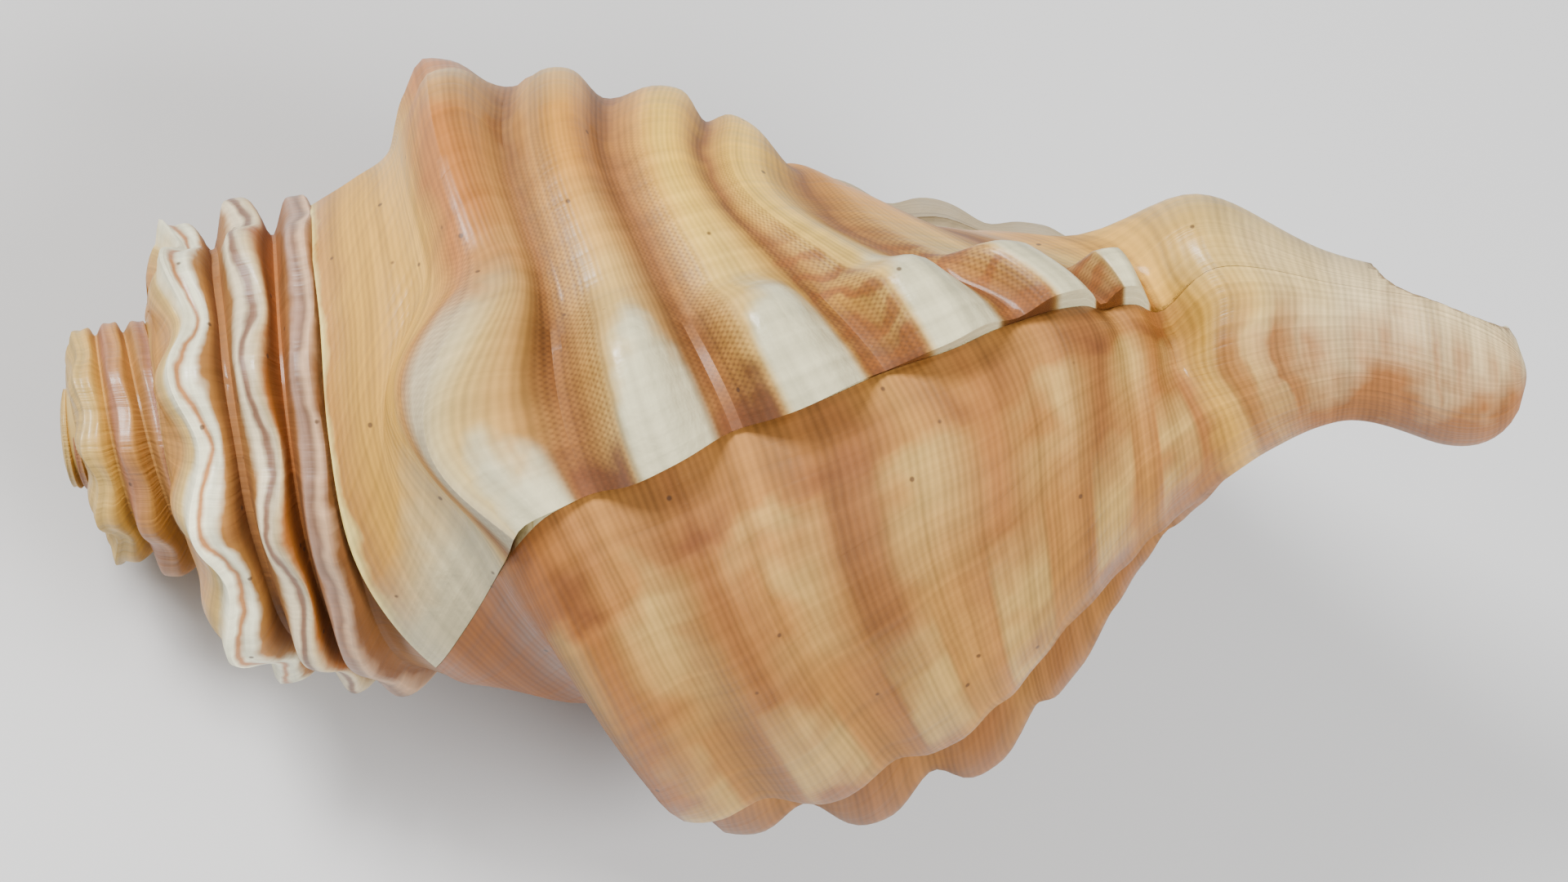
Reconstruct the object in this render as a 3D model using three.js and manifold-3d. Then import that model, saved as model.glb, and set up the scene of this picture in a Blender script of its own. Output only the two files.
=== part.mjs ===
// Triton shell: a dextral sea-snail shell, grown as one piece.
// Built in millimetres, +Z up, lying as it rests on a table, origin under the middle of its bounding box.
//
// The wall is a growth surface. Every growth line (a former edge of the mouth) is a curve that runs from
// the seam with the whorl before it, over the shoulder and six spiral ridges, down to the canal. The line
// turns round the axis as it grows. "turn" is the angle it has reached, 0 at the last thickened rib.
import * as THREE from 'three';
import { mergeVertices } from 'three/addons/utils/BufferGeometryUtils.js';
import Module from 'manifold-3d';

// ---- Driving sizes ---------------------------------------------------------------------------------
const LENGTH = 149.4;          // apex to the end of the canal
const WALL = 1.9;              // shell wall
const LIP_TURN = 204.3;        // growth line of the mouth's outer lip
const RIB_TURN = 10;           // growth line where the thickened rib breaks off
const START_TURN = -1165;      // first growth line that is modelled, at the apex
const SPIRE_WIDTH_GAIN = 2.6;  // how much the first whorls widen in one turn
const SPIRE_LENGTH_GAIN = 3.9; // how much they lengthen in one turn
const CANAL_RISE = 3.2;        // how far the canal sits to one side of the axis
const TIP_DROOP = 4.5;         // and how far its tip droops back
const LIP_THICKENING = 1.6;    // extra wall at the mouth
const PARIETAL_WALL = 1.2;     // glaze laid over the whorl before, inside the room
const PILLAR = 4.5;            // radius of the pillar round which the whorls turn
const CORE = 0.6;              // the wedges stop this far from the axis
const WELD = 0.003;            // joins and cuts leave no edge shorter than this
const EDGE = 0.1;              // half the turn over which the rib breaks off
const TUCK = 1.5;              // turn by which the whorl after it starts under the rib
const REST_ROLL = -74.2;       // from the shell's own frame to how it rests: about its axis
const REST_PITCH = -23.3;      // and the canal's end raised

// ---- The growth surface ----------------------------------------------------------------------------
// Outline of the wall at a set of angles round the axis: [distance from the apex, radius] at the seam,
// ramp, shoulder foot, shoulder, then ridge and groove six times over, neck and canal fold.
const OUTLINES = [
  [-805, [0.7, 5.0], [0.8, 6.2], [1.0, 7.4], [1.4, 8.6], [2.5, 9.4], [4.0, 9.3], [5.4, 10.0], [6.8, 9.5],
    [8.4, 10.0], [9.5, 9.2]],
  [-445, [9.0, 9.8], [9.8, 12.3], [10.6, 14.8], [11.6, 17.2], [13.4, 17.8], [16.4, 17.6], [19.4, 20.4],
    [22.5, 18.8], [25.3, 20.8], [27.5, 19.0]],
  [-275, [14.6, 15.6], [15.6, 18.4], [17.0, 21.4], [18.8, 23.8], [21.2, 24.6], [24.6, 24.0], [27.8, 26.0],
    [29.8, 25.0], [32.2, 27.0], [35.4, 26.2], [39.6, 27.2], [43.6, 25.4], [47.0, 22.5]],
  [-180, [20.5, 18.5], [23.0, 21.0], [26.0, 23.8], [28.6, 27.4], [31.0, 29.8], [35.0, 29.0], [39.0, 30.6],
    [43.0, 28.5], [47.5, 29.3], [51.0, 26.8], [55.0, 26.0], [58.5, 22.0], [62.0, 20.5], [68.0, 15.5],
    [73.0, 14.0], [86.0, 11.5], [98.0, 14.0]],
  [-85, [26.4, 21.3], [30.8, 23.8], [34.8, 26.4], [36.8, 30.6], [40.8, 34.0], [47.0, 32.6], [52.3, 33.0],
    [57.0, 31.0], [63.6, 30.4], [67.0, 28.2], [71.0, 26.8], [75.0, 23.4], [79.0, 21.5], [87.0, 17.0],
    [94.0, 15.6], [104.0, 14.6], [115.0, 14.5]],
  [-45, [27.6, 23.2], [32.0, 25.8], [37.0, 28.4], [39.0, 32.2], [42.6, 34.4], [47.8, 32.8], [53.4, 33.6],
    [58.2, 31.0], [63.8, 30.6], [68.5, 27.8], [73.6, 26.6], [81.0, 22.0], [92.0, 18.6], [101.0, 15.0],
    [106.5, 13.6], [110.4, 12.0], [116.5, 14.0]],
  [-22, [28.6, 24.6], [33.0, 27.2], [39.0, 29.6], [42.0, 33.2], [46.5, 34.6], [51.0, 32.8], [57.0, 33.8],
    [62.5, 30.6], [69.6, 30.2], [77.0, 26.8], [86.0, 25.6], [95.0, 21.4], [103.2, 18.6], [107.2, 14.4],
    [110.2, 13.2], [113.0, 9.5], [119.0, 12.5]],
  [5, [29.2, 26.0], [33.6, 28.4], [40.4, 31.4], [43.0, 35.2], [47.5, 37.2], [53.0, 35.5], [61.2, 36.0],
    [68.8, 33.2], [77.6, 32.4], [85.6, 29.2], [93.4, 26.6], [99.6, 22.6], [105.0, 19.5], [108.6, 14.8],
    [111.0, 13.6], [113.8, 9.8], [119.0, 11.6]],
  [30, [30.6, 26.6], [37.0, 28.6], [44.6, 31.6], [48.6, 37.4], [53.6, 39.6], [59.5, 38.6], [66.6, 39.2],
    [73.2, 36.8], [80.6, 34.8], [87.6, 32.0], [94.6, 29.0], [100.2, 25.2], [105.4, 20.8], [109.2, 17.2],
    [112.0, 15.2], [116.0, 12.0], [121.0, 10.8]],
  [72, [38.5, 28.0], [46.0, 29.4], [54.8, 31.0], [58.6, 40.8], [63.0, 43.6], [69.6, 41.8], [76.6, 42.0],
    [83.0, 37.8], [88.6, 35.4], [93.4, 32.4], [97.6, 29.0], [102.0, 25.0], [106.4, 20.6], [110.0, 17.6],
    [113.0, 15.6], [117.5, 12.8], [123.0, 10.6]],
  [112, [45.6, 28.2], [53.0, 31.2], [60.6, 33.5], [64.2, 42.6], [68.6, 45.4], [75.5, 43.6], [82.0, 44.4],
    [88.6, 41.2], [94.6, 39.4], [99.5, 34.6], [103.3, 30.6], [107.0, 25.4], [110.0, 20.4], [113.0, 17.0],
    [116.0, 15.0], [119.5, 12.6], [124.0, 10.6]],
  [200, [57.5, 27.6], [64.0, 32.4], [71.0, 36.6], [75.4, 44.6], [79.6, 48.6], [85.4, 46.8], [91.0, 47.8],
    [96.4, 43.6], [101.4, 41.6], [105.0, 37.0], [108.4, 32.6], [111.6, 26.4], [114.4, 21.5], [117.0, 17.6],
    [119.0, 15.4], [122.0, 12.8], [126.0, 10.6]],
  [240, [63.0, 28.6], [69.0, 31.6], [76.0, 36.0], [80.0, 43.0], [84.0, 47.0], [89.0, 46.0], [94.0, 46.0],
    [99.0, 43.0], [103.0, 41.0], [107.0, 37.0], [110.0, 33.0], [113.0, 27.0], [116.0, 22.0], [118.0, 18.0],
    [120.0, 15.0], [123.0, 12.8], [126.0, 10.6]],
];
const CANAL = [[131.0, 8.4], [140.5, 8.8], [LENGTH, 9.2]];
const COLUMNS = 20;
// The canal's channel: [distance from the apex, up, toward the back, radius].
const CANAL_CHANNEL = [
  [100, -2, 3, 4],
  [114, 2, 2, 3.6],
  [124, 3.2, 0, 3.6],
  [132, 4.2, 0, 4.4],
  [141, 7.5, -1, 6.2],
  [152, 13, -2, 8],
];
// The canal is open along one side, from the mouth's corner to its end:
// [distance from the apex, angles of the opening's two edges].
const SLIT = [
  [107.5, 233, 237],
  [112, 184, 243],
  [115, 186, 245],
  [117, 212, 245],
  [119, 226, 245.5],
  [124, 229, 246],
  [134, 228, 248],
  [142, 222, 254],
  [152, 208, 268],
];
const TIP_PLACES = [18.75, 18.92];  // extra points that round the canal's tip
const SHOULDER_FOOT = 2;
const SHOULDER = 3;
const RIDGES = [4, 6, 8, 10, 12, 14];
const GROOVES = [[5, 0.7], [7, 0.5], [9, 0.7], [11, 1.1], [13, 1.0]];

// How far each point of a growth line runs ahead of the line's turn: slanting on the rib, flat at the lip.
const RIB_SLANT = [58, 40, 22, 13, 7, 4, 0, -4, -8, -13, -18, -26, -33, -38, -41, -44, -46, -48, -50, -50];
const LIP_SLANT = [36, 24, 12, 6, 4, 2, 1, 0, 0, 1, 2, 5, 10, 15, 21, 24, 24, 20, 20, 20];

// Rows of knobs on the last whorl: turn, spread before and after, rise on each of the six ridges.
const KNOB_ROWS = [
  [-108, 26, 20, [3.0, 2.6, 2.2, 1.8, 1.5, 0.6]],
  [-68, 22, 42, [3.0, 2.4, 1.8, 1.4, 1.0, 0.5]],
  [78, 24, 12, [0.8, 0.5, 0.8, 0.8, 0.5, 0.3]],
  [107, 20, 22, [3.0, 2.4, 2.2, 1.4, 0.6, 0.4]],
  [152, 20, 22, [2.4, 2.2, 2.2, 1.6, 1.0, 0.5]],
  [196, 22, 22, [2.4, 2.2, 2.2, 1.6, 1.0, 0.5]],
];
const FINGER_RISE = [8.0, 8.2, 7.6, 6.6, 5.4, 4.8];      // the rib's white fingers
const FINGER_START = [-36, -20, -15, -12, -11, -11];     // turn where each one begins to rise
const FINGER_BACK = [6.0, 0.6, 0.5, 0, 0, 0];            // how far they lean toward the apex
const SPIRE_KNOB_SPACING = 37.5;                         // degrees between knobs on the spire
const SPIRE_KNOB_SHARE = [1.2, 1.1, 0.7, 0.3, 0, 0];
const SPIRE_KNOB_BACK = [1.1, 0.9, 0.4, 0, 0, 0];
const CORD_RISE = 1.7;                                   // narrow spiral cords of the spire
const CORD_ROUNDING = 3.4;                               // how much fuller the sides of those cords are
const FULLNESS = 0.22;          // how far the ridges' flanks swell, as a share of their knobs
const SPIRE_FULLNESS = 0.3;     // and the same on the spire
const FOLD_TURN = 78;           // a low fold across the last half turn, and the dip after it
const FOLD_RISE = [0, 0, 0, 0, 0, 0.2, 0.2, 0.8, 1.4, 2, 2, 1.6, 1, 0.5, 0, 0, 0, 0, 0, 0];
const DIP_ANGLE = 87;
const DIP_DEPTH = [0, 0, 0, 2.5, 5, 6, 6.5, 7, 7.5, 7.5, 7.5, 7, 5, 3, 1.5, 0, 0, 0, 0, 0];

const radians = (degrees) => degrees * Math.PI / 180;

function ease(from, to, value) {
  const t = Math.min(Math.max((value - from) / (to - from), 0), 1);
  return t * t * (3 - 2 * t);
}

function hump(value, centre, before, after) {
  const spread = value < centre ? before : after;
  const t = Math.min(Math.abs(value - centre) / spread, 1);
  return Math.cos(t * Math.PI / 2) ** 2;
}

// Every outline gets all its columns: the spire's run on to the axis, the body's end in the canal.
const sections = OUTLINES.map(([angle, ...points]) => {
  const line = points.map((point) => [...point]);
  const [x, r] = line[line.length - 1];
  if (angle > -200) line.push(...CANAL);
  const missing = COLUMNS - line.length;
  for (let i = 1; i <= missing; i += 1) {
    line.push([x + i * (2 + x * 0.03), Math.max(r * (1 - i / missing), 0.3)]);
  }
  return { angle, line };
});

// One column of the wall at any angle round the axis: a smooth curve through the outlines.
function wallPoint(column, angle) {
  const first = sections[0].angle;
  const at = Math.max(angle, first);
  const last = sections.length - 1;
  let i = 0;
  while (i < last - 1 && sections[i + 1].angle <= at) i += 1;
  const span = (k) => sections[k + 1].angle - sections[k].angle;
  const rise = (k, axis) => (sections[k + 1].line[column][axis] - sections[k].line[column][axis]) / span(k);
  const slope = (k, axis) => {
    if (k === 0) return rise(0, axis) * 0.6;
    if (k === last) return rise(last - 1, axis);
    if (rise(k, axis) === 0) return 0;
    return (rise(k - 1, axis) * span(k) + rise(k, axis) * span(k - 1)) / (span(k) + span(k - 1));
  };
  const h = span(i);
  const t = (at - sections[i].angle) / h;
  const early = Math.min(angle - first, 0) / 360;
  const gains = [SPIRE_LENGTH_GAIN ** early, SPIRE_WIDTH_GAIN ** early];
  return [0, 1].map((axis) => {
    const a = sections[i].line[column][axis];
    const b = sections[i + 1].line[column][axis];
    const value = (2 * t ** 3 - 3 * t ** 2 + 1) * a + (t ** 3 - 2 * t ** 2 + t) * h * slope(i, axis)
      + (3 * t ** 2 - 2 * t ** 3) * b + (t ** 3 - t ** 2) * h * slope(i + 1, axis);
    return value * gains[axis];
  });
}

// Rise of a ridge's knobs, and how far they lean toward the apex.
function knob(ridge, turn) {
  let rise = 0;
  let back = 0;
  for (const [centre, before, after, heights] of KNOB_ROWS) {
    rise += heights[ridge] * hump(turn, centre, before, after);
  }
  if (turn < RIB_TURN) {
    const peak = FINGER_START[ridge] * 0.4 + 2;
    rise += FINGER_RISE[ridge] * hump(turn, peak, peak - FINGER_START[ridge], 34);
    back += FINGER_BACK[ridge] * hump(turn, -3, 22, 20);
  }
  const young = 2 ** ((Math.min(turn, -430) + 430) / 360 * 1.15);
  const size = 1.7 * young * ease(-950, -600, turn) * (1 - ease(-190, -140, turn));
  const wave = Math.cos(radians((turn - 4) * 360 / SPIRE_KNOB_SPACING)) * 0.5 + 0.15;
  rise += size * wave * SPIRE_KNOB_SHARE[ridge];
  back += size * wave * SPIRE_KNOB_BACK[ridge];
  return [rise, back];
}

// One growth line: [distance from the apex, radius, angle] for every column.
function growthLine(turn, plain = false) {
  const slanted = ease(-330, -180, turn);
  const flat = ease(30, LIP_TURN, turn);
  const line = [];
  for (let c = 0; c < COLUMNS; c += 1) {
    const angle = turn + slanted * (RIB_SLANT[c] + (LIP_SLANT[c] - RIB_SLANT[c]) * flat);
    const [x, r] = wallPoint(c, angle);
    line.push([x, r - DIP_DEPTH[c] * hump(angle, DIP_ANGLE, 14, 15), angle]);
  }
  if (plain) return line;
  RIDGES.forEach((column, ridge) => {
    const [rise, back] = knob(ridge, turn);
    line[column][0] -= back;
    line[column][1] += rise;
  });
  const [rise, back] = knob(0, turn);
  const carried = turn < RIB_TURN ? 1 - 0.6 * ease(-5, RIB_TURN, turn) : 1;
  for (const [column, share, lean] of [[SHOULDER_FOOT, 0.05, 4.4], [SHOULDER, 0.72, 5.2]]) {
    if (turn < -150) line[column][0] -= back;
    else if (turn < RIB_TURN) line[column][0] -= lean * hump(line[column][2], -1, 24, 28);
    line[column][1] += Math.max(rise, 0) * share * carried;
  }
  if (turn < RIB_TURN) {
    for (const [column, edge] of GROOVES) line[column][1] += edge * hump(turn, RIB_TURN, 16, 16);
  }
  FOLD_RISE.forEach((height, column) => {
    line[column][1] += height * hump(turn, FOLD_TURN, 24, 14);
  });
  return line;
}

// The same line with extra points between the columns, the spire's narrow cords and full flanks.
function fineLine(turn, lastColumn, parts) {
  const line = growthLine(turn);
  const size = 2 ** (Math.min(turn + 290, 0) / 360) * (1 - ease(-190, -140, turn));
  const rounding = CORD_ROUNDING * (1 - ease(-315, -265, turn));
  const fullness = SPIRE_FULLNESS + (FULLNESS - SPIRE_FULLNESS) * ease(-315, -265, turn);
  const places = Array.from({ length: lastColumn * parts + 1 }, (_, k) => k / parts);
  if (lastColumn === COLUMNS - 1) places.splice(-1, 0, ...TIP_PLACES);
  const fine = [];
  for (const u of places) {
    const i = Math.min(Math.floor(u), lastColumn - 1);
    const t = u - i;
    const around = [Math.max(i - 1, 0), i, i + 1, Math.min(i + 2, lastColumn)].map((c) => line[c]);
    const point = [0, 1, 2].map((axis) => {
      const [a, b, c, d] = around.map((p) => p[axis]);
      return 0.5 * (2 * b + (c - a) * t + (2 * a - 5 * b + 4 * c - d) * t ** 2
        + (3 * b - a - 3 * c + d) * t ** 3);
    });
    for (const column of RIDGES.slice(0, 3)) {
      const away = (u - column) ** 2;
      const crest = Math.exp(-((away / 0.42) ** 3)) - 0.25 * Math.exp(-away / 0.9);
      const round = Math.sqrt(Math.max(1 - away / 0.72, 0));
      const side = round - Math.cos(Math.sqrt(Math.min(away, 1)) * Math.PI / 2) ** 2;
      point[1] += size * (CORD_RISE * crest + rounding * Math.max(side, 0));
    }
    RIDGES.forEach((column, ridge) => {
      const full = knob(ridge, turn)[0] + ease(-190, -150, turn);
      if (Math.abs(u - column) < 1) point[1] += fullness * full * Math.sin(Math.PI * u) ** 2;
    });
    fine.push(point);
  }
  return fine;
}

// The canal's fold swells on one side, a pit lies between it and the rib, and the tip is rounded.
function withFold([x, r, angle]) {
  const side = ((angle + 180) % 360 + 360) % 360 - 180;
  const fold = Math.exp(-(((x - 117) / 8) ** 2) - ((side + 72) / 42) ** 2);
  const pit = Math.exp(-(((x - 113) / 2.4) ** 2) - ((side + 22) / 18) ** 2);
  const rounded = Math.sqrt(Math.max(1 - (Math.max(x - 139, 0) / (LENGTH - 138.9)) ** 2, 0));
  return [x, Math.max((r + 3 * fold - 2.6 * pit) * rounded, 0.3), angle];
}

// From axis coordinates to space: X from apex to canal, and the canal set off to one side.
function toSpace([x, r, angle]) {
  const offset = CANAL_RISE * ease(104, 128, x) - TIP_DROOP * ease(130, LENGTH, x);
  return [x, -r * Math.cos(radians(angle)), -r * Math.sin(radians(angle)) + offset];
}

// ---- Solids ----------------------------------------------------------------------------------------
const wasm = await Module();
wasm.setup();

// A closed solid between an outer and an inner sheet of the same grid size.
function sheetSolid(outer, inner) {
  const rows = outer.length;
  const across = outer[0].length;
  const positions = [...outer.flat(), ...inner.flat()].flat();
  const o = (i, j) => i * across + j;
  const n = (i, j) => rows * across + i * across + j;
  const triangles = [];
  const quad = (a, b, c, d) => triangles.push(a, c, b, a, d, c);
  for (let i = 0; i < rows - 1; i += 1) {
    for (let j = 0; j < across - 1; j += 1) {
      quad(o(i, j), o(i, j + 1), o(i + 1, j + 1), o(i + 1, j));
      quad(n(i, j), n(i + 1, j), n(i + 1, j + 1), n(i, j + 1));
    }
    quad(o(i, 0), o(i + 1, 0), n(i + 1, 0), n(i, 0));
    quad(o(i + 1, across - 1), o(i, across - 1), n(i, across - 1), n(i + 1, across - 1));
  }
  for (let j = 0; j < across - 1; j += 1) {
    quad(o(0, j + 1), o(0, j), n(0, j), n(0, j + 1));
    quad(o(rows - 1, j + 1), n(rows - 1, j + 1), n(rows - 1, j), o(rows - 1, j));
  }
  return new wasm.Manifold(new wasm.Mesh({
    numProp: 3,
    vertProperties: new Float32Array(positions),
    triVerts: new Uint32Array(triangles),
    tolerance: WELD,
  }));
}

// A closed solid through a row of rings, each with the same number of points.
function ringSolid(rings) {
  const around = rings[0].length;
  const positions = rings.flat().flat();
  const first = positions.length / 3;
  for (const ring of [rings[0], rings[rings.length - 1]]) {
    positions.push(...[0, 1, 2].map((axis) => ring.reduce((sum, p) => sum + p[axis], 0) / around));
  }
  const triangles = [];
  for (let j = 0; j < around; j += 1) {
    const k = (j + 1) % around;
    for (let i = 0; i < rings.length - 1; i += 1) {
      const [a, b, c, d] = [i * around + j, i * around + k, (i + 1) * around + k, (i + 1) * around + j];
      triangles.push(a, c, b, a, d, c);
    }
    const end = (rings.length - 1) * around;
    triangles.push(first, j, k, first + 1, end + k, end + j);
  }
  return new wasm.Manifold(new wasm.Mesh({
    numProp: 3,
    vertProperties: new Float32Array(positions),
    triVerts: new Uint32Array(triangles),
    tolerance: WELD,
  }));
}

function turnsBetween(from, to, step) {
  const count = Math.max(Math.round((to - from) / step), 1);
  return Array.from({ length: count + 1 }, (_, i) => from + (to - from) * i / count);
}

// A stretch of whorl, filled in to the axis.
function whorlWedge(turns, lastColumn, parts) {
  const lines = turns.map((turn) => fineLine(turn, lastColumn, parts).map(withFold));
  if (turns[0] > RIB_TURN) lines.unshift(lines[0].map(([x, r, angle]) => [x, r - 0.5, angle - TUCK]));
  const inner = lines.map((line) => {
    let reach = -Infinity;
    return line.map(([x, , angle]) => {
      reach = Math.max(x, reach + 0.02);
      return toSpace([reach, CORE, angle]);
    });
  });
  return sheetSolid(lines.map((line) => line.map(toSpace)), inner);
}

// Radius of the last but one whorl under a point of the wall.
function radiusUnder(x, angle) {
  let radius = 0;
  let before = wallPoint(0, angle - 360);
  for (let c = 1; c < COLUMNS; c += 1) {
    const after = wallPoint(c, angle - 360);
    if ((before[0] - x) * (after[0] - x) <= 0 && before[0] !== after[0]) {
      const t = (x - before[0]) / (after[0] - before[0]);
      radius = Math.max(radius, before[1] + (after[1] - before[1]) * t);
    }
    before = after;
  }
  return radius;
}

// A stretch of the room the animal lived in, one wall inside the whorl and clear of the one before.
function roomWedge(turns, lastColumn) {
  const outer = [];
  const inner = [];
  for (const turn of turns) {
    const wall = WALL + LIP_THICKENING * ease(LIP_TURN - 30, LIP_TURN, turn);
    const line = growthLine(Math.min(turn, LIP_TURN), true).slice(1, lastColumn + 1);
    const ahead = Math.max(turn - LIP_TURN, 0);
    const shrink = (j) => Math.sin(Math.PI * Math.min(j + 0.5, line.length - j - 0.5, 3) / 6);
    const floor = line.map(([x, , angle]) => Math.max(radiusUnder(x, angle) + PARIETAL_WALL, PILLAR));
    outer.push(line.map(([x, r, angle], j) => {
      const room = Math.max(r - wall - floor[j], 0.4) * shrink(j);
      return toSpace([x + 0.8, floor[j] + room, angle + ahead]);
    }));
    inner.push(line.map(([x, , angle], j) => toSpace([x + 0.8, floor[j], angle + ahead])));
  }
  return sheetSolid(outer, inner);
}

// A round channel through a list of stations.
function channel(stations) {
  const curve = new THREE.CatmullRomCurve3(stations.map(([x, up, back]) => new THREE.Vector3(x, back, up)));
  const steps = (stations.length - 1) * 3;
  const frames = curve.computeFrenetFrames(steps);
  const rings = [];
  for (let i = 0; i <= steps; i += 1) {
    const t = i / steps;
    const centre = curve.getPoint(t);
    const at = t * (stations.length - 1);
    const k = Math.min(Math.floor(at), stations.length - 2);
    const radius = stations[k][3] + (stations[k + 1][3] - stations[k][3]) * (at - k);
    rings.push(Array.from({ length: 12 }, (_, j) => {
      const a = radians(-j * 30);
      const side = frames.normals[i].clone().multiplyScalar(Math.cos(a) * radius);
      side.addScaledVector(frames.binormals[i], Math.sin(a) * radius);
      return centre.clone().add(side).toArray();
    }));
  }
  return ringSolid(rings);
}

// A solid's mesh with its shortest edges closed up, and the flaps of no thickness that leaves taken out.
function weld(mesh) {
  const loose = new THREE.BufferGeometry();
  loose.setAttribute('position', new THREE.BufferAttribute(new Float32Array(mesh.vertProperties), 3));
  loose.setIndex(new THREE.BufferAttribute(new Uint32Array(mesh.triVerts), 1));
  const geometry = mergeVertices(loose, WELD);
  const faces = new Map();
  for (let i = 0; i < geometry.index.count; i += 3) {
    const corners = Array.from(geometry.index.array.slice(i, i + 3));
    const key = [...corners].sort((a, b) => a - b).join();
    if (new Set(corners).size < 3) continue;
    if (faces.has(key)) faces.delete(key);
    else faces.set(key, corners);
  }
  geometry.setIndex([...faces.values()].flat());
  return geometry;
}

// ---- The shell -------------------------------------------------------------------------------------
// Whorls from the apex to the lip: first turn, last turn, step, last column, points per column.
const WHORLS = [
  [START_TURN, -985, 24, 10, 2],
  [-985, -805, 18, 10, 2],
  [-805, -625, 16, 10, 2],
  [-625, -440, 12, 10, 2],
  [-440, -275, 10, 12, 2],
  [-275, -150, 10, 12, 2],
  [-150, RIB_TURN - EDGE, 10.5, 19, 2],
  [RIB_TURN + EDGE, LIP_TURN, 11, 19, 2],
];
const ROOMS = [
  [-330, -170, 16, 12],
  [-170, 20, 16, 14],
  [20, LIP_TURN + 12, 16, 15],
];

const pillarRings = turnsBetween(0.6, LENGTH - 1.4, 24).map((x) => (
  Array.from({ length: 8 }, (_, j) => toSpace([x, Math.min(1.5, 0.8 + x * 0.1), -j * 45]))
));
let shell = ringSolid(pillarRings);

// The first whorls are worn to a smooth button at the apex.
shell = shell.add(wasm.Manifold.sphere(1, 12).scale([2.6, 5.6, 5.6]).translate([2.6, 0, 0]));
for (const [from, to, step, lastColumn, parts] of WHORLS) {
  shell = shell.add(whorlWedge(turnsBetween(from, to, step), lastColumn, parts));
}
for (const [from, to, step, lastColumn] of ROOMS) {
  shell = shell.subtract(roomWedge(turnsBetween(from, to, step), lastColumn));
}

// The canal: a channel from the room, open along one side and in a scoop at its end.
shell = shell.subtract(channel(CANAL_CHANNEL));
const slitFace = (edge) => SLIT.map((row) => (
  [0.5, 5, 10, 16].map((r) => toSpace([row[0], r, row[edge]]))
));
shell = shell.subtract(sheetSolid(slitFace(2), slitFace(1)));
shell = shell.decompose().reduce((a, b) => (a.volume() > b.volume() ? a : b));

// ---- Scene -----------------------------------------------------------------------------------------
const geometry = weld(shell.getMesh());
geometry.rotateX(radians(REST_ROLL));
geometry.rotateY(radians(REST_PITCH));
geometry.computeBoundingBox();
const { min, max } = geometry.boundingBox;
geometry.translate(-(min.x + max.x) / 2, -(min.y + max.y) / 2, -min.z);

const shellMesh = new THREE.Mesh(geometry, new THREE.MeshStandardMaterial({
  color: 0xd9b382,
  roughness: 0.45,
  metalness: 0,
}));
shellMesh.name = 'shell';

const part = new THREE.Group();
part.name = 'triton_shell';
part.add(shellMesh);

export default part;
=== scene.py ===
import math

import bpy
import numpy as np
from mathutils import Matrix, Vector


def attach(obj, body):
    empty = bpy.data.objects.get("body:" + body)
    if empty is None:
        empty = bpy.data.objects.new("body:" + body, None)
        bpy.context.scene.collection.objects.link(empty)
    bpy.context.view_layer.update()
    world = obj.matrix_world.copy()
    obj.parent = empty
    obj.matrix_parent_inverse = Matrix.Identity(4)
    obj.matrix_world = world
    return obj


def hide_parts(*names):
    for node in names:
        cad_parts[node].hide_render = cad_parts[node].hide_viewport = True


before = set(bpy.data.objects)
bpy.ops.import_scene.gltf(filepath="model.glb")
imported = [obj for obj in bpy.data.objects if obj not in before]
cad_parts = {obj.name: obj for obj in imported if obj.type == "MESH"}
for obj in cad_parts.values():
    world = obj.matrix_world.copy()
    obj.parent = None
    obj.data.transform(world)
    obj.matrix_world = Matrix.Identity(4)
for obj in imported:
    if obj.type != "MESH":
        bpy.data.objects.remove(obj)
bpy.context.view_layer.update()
bpy.ops.object.select_all(action="DESELECT")

# ---- The wall ---------------------------------------------------------------------------------------
# The shell's wall is aragonite, laid down at the mouth's edge while the animal turned round the axis.
# Each growth line runs from the seam over a ramp, a shoulder and six spiral ridges down to the canal.
# "turn" is the angle that the edge has reached, in degrees, and "column" the place across the line.
LENGTH = 149.4            # mm, apex to the end of the canal
LIP_TURN = 204.3          # where growth stopped, at the mouth's lip
RIB_TURN = 10             # the edge of the thickened rib
START_TURN = -1165
FULL_SIZE_TURN = -805     # before this the whorls only shrink toward the apex
WIDTH_GAIN = 2.6          # growth of the radius in one early turn
LENGTH_GAIN = 3.9         # and of the distance from the apex
CANAL_RISE = 3.2          # mm
TIP_DROOP = 4.5           # mm
CORE = 0.6                # mm, how near the axis each whorl's block reaches
COLUMNS = 20
RIDGES = [4, 6, 8, 10, 12, 14]

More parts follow.
